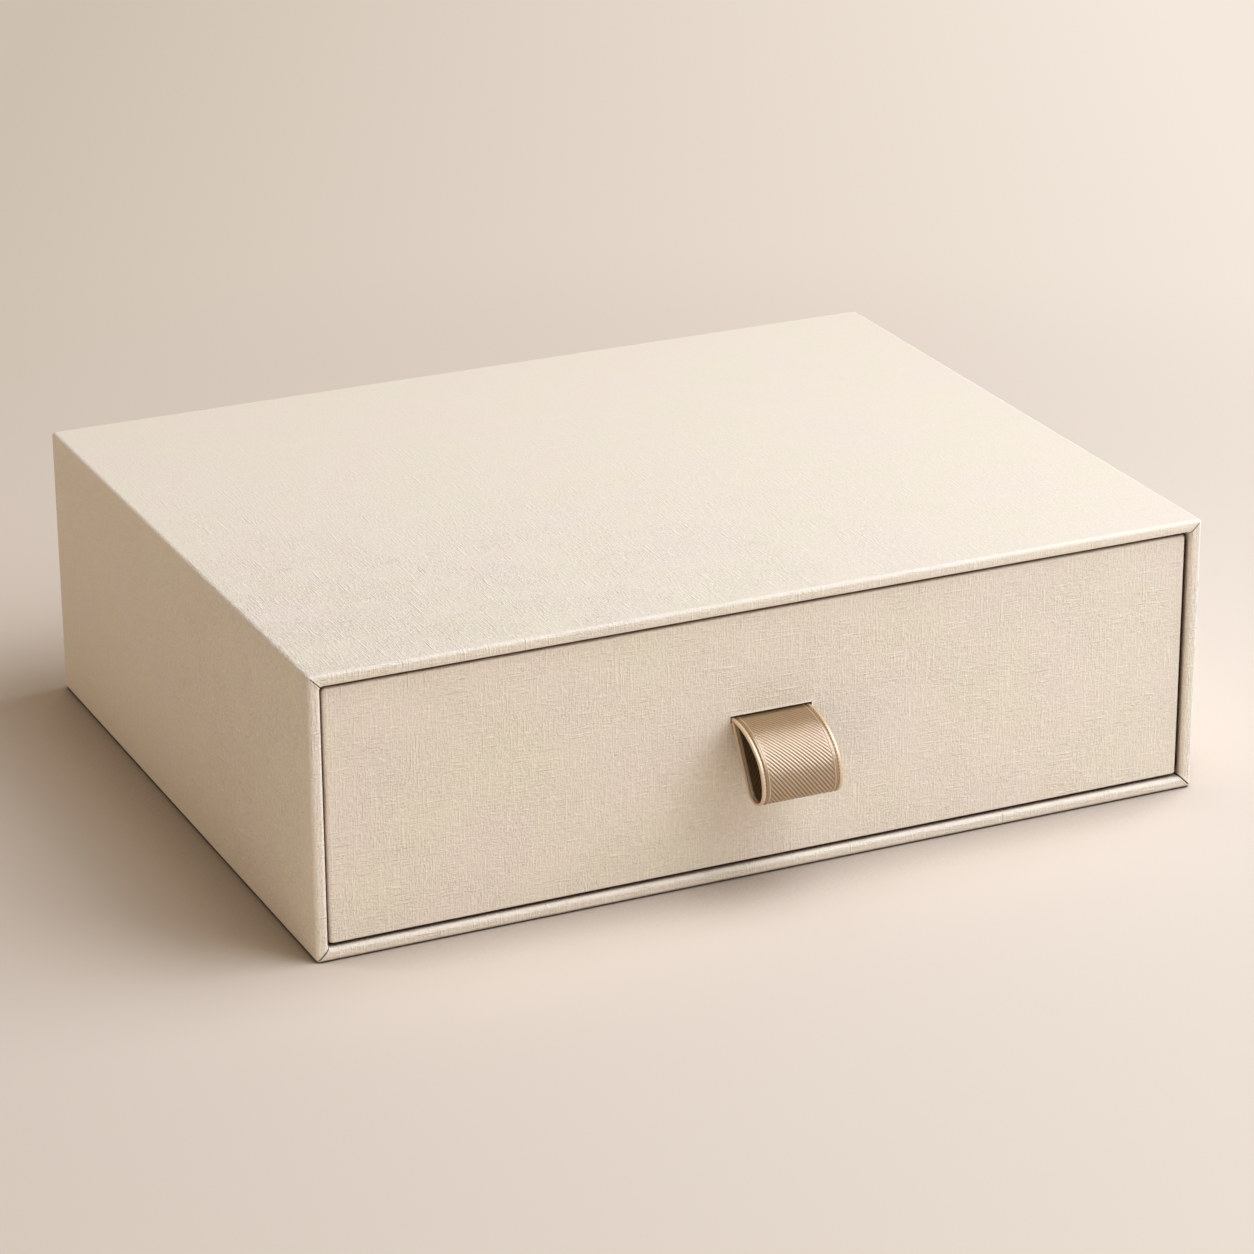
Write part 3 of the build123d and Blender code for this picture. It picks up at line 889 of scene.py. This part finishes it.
ribbonSet = {
    "width": 25.0,
    "edgeWidth": 1.35,  # rolled selvedge on each side
    "edgeRadius": 0.4,
    "underRoll": 0.15,  # how far the woven body runs in under it
    "bodyHalf": 0.2,
    "columns": 33,
    "ribHeight": 0.15,
    "ribPitch": 0.92,
    "ribAngle": 50.0,  # degrees from the width, falling to the right
    "rowsPerRib": 6,
    "ribEnds": (9.6, 10.1),  # the ribs fade out between these, short of a plain band
    "bandCrest": 0.6,  # the plain band's height and brightness, as shares of a rib's
    "pressed": (18.0, 27.0),  # the ribs rise between these lengths, past the sharp bend at the slit
    "pressedShare": 0.25,  # what is left of them before that
    "innerShadeCrest": (0.2, 0.25),  # the inner face is dull and nearly plain: painted shade inside the loop
    "innerHeight": 0.4,
    "beadPitch": 1.0,  # one stitch along each edge
    "beadRows": 5,
    "roll": (16, 0.03),  # sides, and how deep the beads are cut
    "rollShift": 0.3,  # beads on the right start this share later
    "pipingPlace": 10.15,  # a fine raised thread along the plain band
    "pipingRadius": 0.15,
    "piping": (8, 0.08),
    "pipingShift": 0.5,
    "rollCrest": 0.9,  # how bright the rolls and the piping are
    "stitchAndGrooveShade": 1.6,  # and how much darker the stitches and the painted shade in their groove
    "stitchPlace": (0.45, 0.75),
    "stitchLength": (0.25, 0.6),
    "stitchLow": -0.2,  # none on the roll's underside
    "root": (-107.65, 48.08),  # the slit, where the two layers lie on its lower lip
    "hinge": 48.35,  # height of the line about which the loop swings
    "layer": 0.38,  # middle of each layer above and below the slit's middle
    "lipIn": 0.256,  # the lower layer bends this far inside the root
    "tail": (4.85, 12.85),  # how far in and how far up the tails go
    "crown": (22.3, 40.0),  # radius at the ribbon's middle, and angle
    "shoulder": 12.2,
    "toe": 5.0,
    "lineStep": 0.05,
    "softening": 9,  # steps to each side over which the line's corners are rounded
    "evenStep": 0.1,
    "blend": (-106.4, -108.5),
}


def ribbonLine(s):
    # points of the ribbon's middle, seen from the side: out from the root, and up
    points = []

    def run(a, b):
        a, b = np.array(a, float), np.array(b, float)
        count = max(2, int(np.linalg.norm(b - a) / s["lineStep"]))
        points.extend(a + (b - a) * k / count for k in range(count))

    def turn(centre, radius, start, sweep):
        count = max(2, int(abs(math.radians(sweep)) * radius / s["lineStep"]))
        for k in range(count):
            angle = math.radians(start + sweep * k / count)
            points.append(np.array(centre) + radius * np.array((math.cos(angle), math.sin(angle))))

    inside, up, layer = -s["tail"][0], s["tail"][1], s["layer"]
    crown, lean = s["crown"]
    run((inside, up), (inside, layer))
    run((inside, layer), (0, layer))
    turn((0, layer - crown), crown, 90, -lean)
    side = math.radians(90 - lean)
    shoulderX = (crown - s["shoulder"]) * math.cos(side)
    shoulderY = layer - crown + (crown - s["shoulder"]) * math.sin(side)
    turn((shoulderX, shoulderY), s["shoulder"], 90 - lean, lean - 90)
    toeX, toeY = shoulderX + s["shoulder"] - s["toe"], shoulderY
    # the back layer rises straight from the toe to the slit's lower lip
    lip = np.array((-s["lipIn"], -layer))
    toLip = np.array((toeX, toeY)) - lip
    slope = math.atan2(-toLip[1], toLip[0]) + math.asin(s["toe"] / np.hypot(*toLip))
    turn((toeX, toeY), s["toe"], 0, -(90 + math.degrees(slope)))
    leave = np.array((toeX, toeY)) + s["toe"] * np.array((-math.sin(slope), -math.cos(slope)))
    run(leave, lip)
    run(lip, (inside, -layer))
    run((inside, -layer), (inside, -up))
    line = np.array(points + [np.array((inside, -up))])
    # a ribbon takes no sharp corner: soften the line, with its ends held
    width = s["softening"]
    kernel = np.exp(-np.linspace(-2, 2, 2 * width + 1) ** 2)
    kernel /= kernel.sum()
    padded = np.vstack([line[:1]] * width + [line] + [line[-1:]] * width)
    soft = np.stack([np.convolve(padded[:, k], kernel, "valid") for k in (0, 1)], 1)
    lengths = np.concatenate([[0], np.cumsum(np.linalg.norm(np.diff(soft, axis=0), axis=1))])
    even = np.linspace(0, lengths[-1], int(lengths[-1] / s["evenStep"]) + 1)
    return even, np.stack([np.interp(even, lengths, soft[:, k]) for k in (0, 1)], 1)


def layRibbon(s, even, line, across, along, height):
    # flat places to the box's frame, in millimetres; height is above the ribbon's outer face
    tangent = np.gradient(line, even, axis=0)
    tangent /= np.linalg.norm(tangent, axis=1)[:, None]
    place = [np.interp(along, even, line[:, k]) for k in (0, 1)]
    way = [np.interp(along, even, tangent[:, k]) for k in (0, 1)]
    out = place[0] - way[1] * height, place[1] + way[0] * height
    return np.stack([across, s["root"][0] - out[0], s["root"][1] + out[1]], -1)


def weaveRing(bm, layers, ring, flat, crest, slot):
    # a tube of quads, open at both ends, from rows of points that each go once round
    uvLayer, crestLayer = layers
    rows, count = ring.shape[:2]
    verts = [[bm.verts.new(ring[i, j]) for j in range(count)] for i in range(rows)]
    for i in range(rows):
        for j in range(count):
            verts[i][j][crestLayer] = float(crest[i, j])
    for i in range(rows - 1):
        for j in range(count):
            k = (j + 1) % count
            face = bm.faces.new((verts[i][j], verts[i][k], verts[i + 1][k], verts[i + 1][j]))
            face.material_index = slot
            for loop, (a, b) in zip(face.loops, ((i, j), (i, k), (i + 1, k), (i + 1, j))):
                loop[uvLayer].uv = flat[a, b]
    return verts


def weaveTwill(bm, layers, s, length):
    # rows follow the ribs, so each rib is a rounded cord
    halfBody = s["width"] / 2 - s["edgeWidth"] + s["underRoll"]
    slope = math.tan(math.radians(s["ribAngle"]))
    pitch = s["ribPitch"] / math.cos(math.radians(s["ribAngle"]))
    step = pitch / s["rowsPerRib"]
    columns = np.linspace(-halfBody, halfBody, s["columns"])
    first = -int(halfBody * slope / step) - s["rowsPerRib"]
    last = int((length + halfBody * slope) / step) + s["rowsPerRib"]
    rows = np.arange(first - first % s["rowsPerRib"], last)
    phase = (rows % s["rowsPerRib"]) / s["rowsPerRib"]
    crest = np.clip(1 - (2 * phase - 1) ** 2, 0, 1)
    ribbed = 1 - ease(np.abs(columns), *s["ribEnds"])
    along = rows[:, None] * step + columns * slope
    start = s["pressedShare"]
    ribbed = ribbed * (start + (1 - start) * ease(along, *s["pressed"]))
    crests = crest[:, None] * ribbed + s["bandCrest"] * (1 - ribbed)
    outer = s["bodyHalf"] + s["ribHeight"] * crests
    inner = s["bodyHalf"] + s["ribHeight"] * s["innerHeight"] * crests
    # painted shade darkens the loop's inner face
    innerCrests = s["innerShadeCrest"][0] + s["innerShadeCrest"][1] * crests
    ring = np.zeros((len(rows), 2 * len(columns), 3))
    ring[..., 0] = np.concatenate([columns, columns[::-1]])
    ring[..., 1] = rows[:, None] * step + ring[..., 0] * slope
    ring[..., 2] = np.hstack([outer, -inner[:, ::-1]])
    crests = np.hstack([crests, innerCrests[:, ::-1]])
    weaveRing(bm, layers, ring, ring[..., :2].copy(), crests, 0)
    for cut, way in ((0.0, -1), (length, 1)):  # cut square across at both ends
        plane = {"plane_co": (0, cut, 0), "plane_no": (0, way, 0), "clear_outer": True}
        geometry = bm.verts[:] + bm.edges[:] + bm.faces[:]
        result = bmesh.ops.bisect_plane(bm, geom=geometry, dist=tiny, **plane)
        rim = [e for e in result["geom_cut"] if isinstance(e, bmesh.types.BMEdge)]
        bmesh.ops.edgeloop_fill(bm, edges=rim)


def weaveEdges(bm, layers, s, length):
    # a beaded roll on each side, and a fine thread inside it
    beadStep = s["beadPitch"] / s["beadRows"]
    rows = np.arange(0, length + beadStep / 2, beadStep)
    rows[-1] = length
    rollMiddle = s["width"] / 2 - s["edgeWidth"] / 2
    topOfBody = s["bodyHalf"] + s["ribHeight"] * s["bandCrest"]
    rollSize, threadSize = (s["edgeWidth"] / 2, s["edgeRadius"]), (s["pipingRadius"],) * 2
    cords = []
    for side in (-1, 1):
        shift = s["rollShift"] * (side > 0)
        cords.append(((side * rollMiddle, 0.0), rollSize, s["roll"], shift, side))
        place = (side * s["pipingPlace"], topOfBody)
        cords.append((place, threadSize, s["piping"], s["pipingShift"], 0))
    for (middle, height), (halfWidth, halfHeight), (sides, relief), shift, stitchSide in cords:
        around = np.linspace(0, 2 * math.pi, sides + 1)[:-1]
        bead = np.abs(np.sin(np.pi * (rows / s["beadPitch"] + shift)))[:, None]
        size = 1 - relief + relief * bead
        ring = np.zeros((len(rows), sides, 3))
        ring[..., 0] = middle + np.cos(around) * halfWidth * size
        ring[..., 1] = rows[:, None]
        ring[..., 2] = height + np.sin(around) * halfHeight * size
        unrolled = np.broadcast_to(middle + around * halfWidth / 2, ring.shape[:2])
        flat = np.stack([unrolled, ring[..., 1]], -1)
        # dark stitches and a painted groove shade sink into the roll where it meets the body
        toBody = np.clip(-stitchSide * np.cos(around), 0, 1)[None, :]
        toBody = toBody * (np.sin(around) > s["stitchLow"])
        stitchAndGroove = ease(toBody, *s["stitchPlace"]) * ease(1 - bead, *s["stitchLength"])
        crests = s["rollCrest"] - s["stitchAndGrooveShade"] * stitchAndGroove
        verts = weaveRing(bm, layers, ring, flat, crests, 1)
        for end in (verts[0][::-1], verts[-1]):
            bm.faces.new(end).material_index = 1


def ribbonPull(s):
    even, line = ribbonLine(s)
    length = even[-1]
    bm = bmesh.new()
    layers = (bm.loops.layers.uv.new("flatSheet"), bm.verts.layers.float.new("ribCrest"))
    weaveTwill(bm, layers, s, length)
    weaveEdges(bm, layers, s, length)
    across, along, height = np.array([v.co for v in bm.verts]).T
    laid = layRibbon(s, even, line, across, np.clip(along, 0, length), height) * mm
    for vert, place in zip(bm.verts, laid):
        vert.co = place
    bmesh.ops.recalc_face_normals(bm, faces=bm.faces)
    piece = finishObject("ribbon_pull", bm, [twill, selvedge])
    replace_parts(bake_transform(piece), "pull_loop", "pull_tails")
    print("ribbon cut to", round(float(length), 1), "mm")


# Floor

floorLook = {
    "tone": tone(230, 219, 206),
    "roughness": 0.9,
    "shine": 0.1,
    "contact": 0.12,  # a soft dark rim of shade where the box rests
    "contactTone": tone(110, 78, 52),
    "contactSplit": (0.45, 0.95),
    "contactReach": 0.045,
    "line": 0.85,  # a painted dark shadow line right under the edge
    "shadowLineTone": tone(58, 36, 20),
    "lineSplit": (0.40, 0.53),
    "near": (0.26, 0.52),  # the far floor's tone takes over between these distances
    "half": 3.0,  # metres from the middle to the floor's edges
    "cells": 24,
}


def studioFloor(s):
    material, tree, shader = newFinish("studioFloor", s["tone"], s["roughness"], s["shine"])
    # painted shade and a painted shadow line on the floor where the box rests
    room = openRoom(tree, s["contactReach"])
    contact = spread(tree, room, *s["contactSplit"], s["contact"], 0.0)
    resting = mixTone(tree, contact, s["tone"], s["contactTone"])
    line = spread(tree, room, *s["lineSplit"], s["line"], 0.0)
    resting = mixTone(tree, line, resting, s["shadowLineTone"])
    tree.links.new(resting, shader.inputs["Base Color"])
    place = objectPlace(tree)
    farTone = backdropTone(tree, place, backdropSet["reach"])
    distance = addNode(tree, "VectorMath", {0: place}, operation="LENGTH").outputs["Value"]
    near, far = s["near"]
    share = addNode(tree, "MapRange", {"Value": distance, "From Min": near, "From Max": far})
    share.interpolation_type = "SMOOTHSTEP"
    seen = addNode(tree, "LightPath").outputs["Is Camera Ray"]
    seen = addMath(tree, "MULTIPLY", seen, share.outputs[0])
    # painted glow: beyond the box the camera sees the backdrop's tones instead of the lit floor
    plain = addNode(tree, "Emission", {"Color": farTone})
    mixed = addNode(tree, "MixShader", {0: seen, 1: shader.outputs[0], 2: plain.outputs[0]})
    output = next(node for node in tree.nodes if node.type == "OUTPUT_MATERIAL")
    tree.links.new(mixed.outputs[0], output.inputs["Surface"])
    bm = bmesh.new()
    bmesh.ops.create_grid(bm, x_segments=s["cells"], y_segments=s["cells"], size=s["half"])
    floor = finishObject("studioFloor", bm, [material])


def dressNodes():
    # boards, tapes and linings stay as packed and take their finish
    finishes = {"board": board, "tapes": tape, "lining": lining, "paper": lining, "patch": lining}
    for name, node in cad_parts.items():
        finish = finishes.get(name.rsplit("_", 1)[1])
        for slot in node.material_slots if finish else ():
            slot.material = finish


bpy.context.scene.view_settings.view_transform = "Standard"
setCamera(cameraSet)
setLight(lightSet)
studioFloor(floorLook)
print("camera, light and floor set")

linen = linenPaper(linenLook)
lining = liningPaper(liningLook)
board = greyboard(boardLook)
tape = kraftTape(tapeLook)
twill = satin(ribbonLook, twillLook)
selvedge = satin(ribbonLook, rollLook)
dressNodes()
print("finishes on the boards, tapes and linings")

sleeveCoverPaper(mouthSet)
sleeveBasePaper(mouthSet)
drawerCoverPaper(drawerSet)
for panelName, panelPlace in panelSet.items():
    paperPanel(panelName, panelPlace)
print("cover papers drawn over the sleeve and the drawer")

ribbonPull(ribbonSet)
print("ribbon woven and laid through the slit")
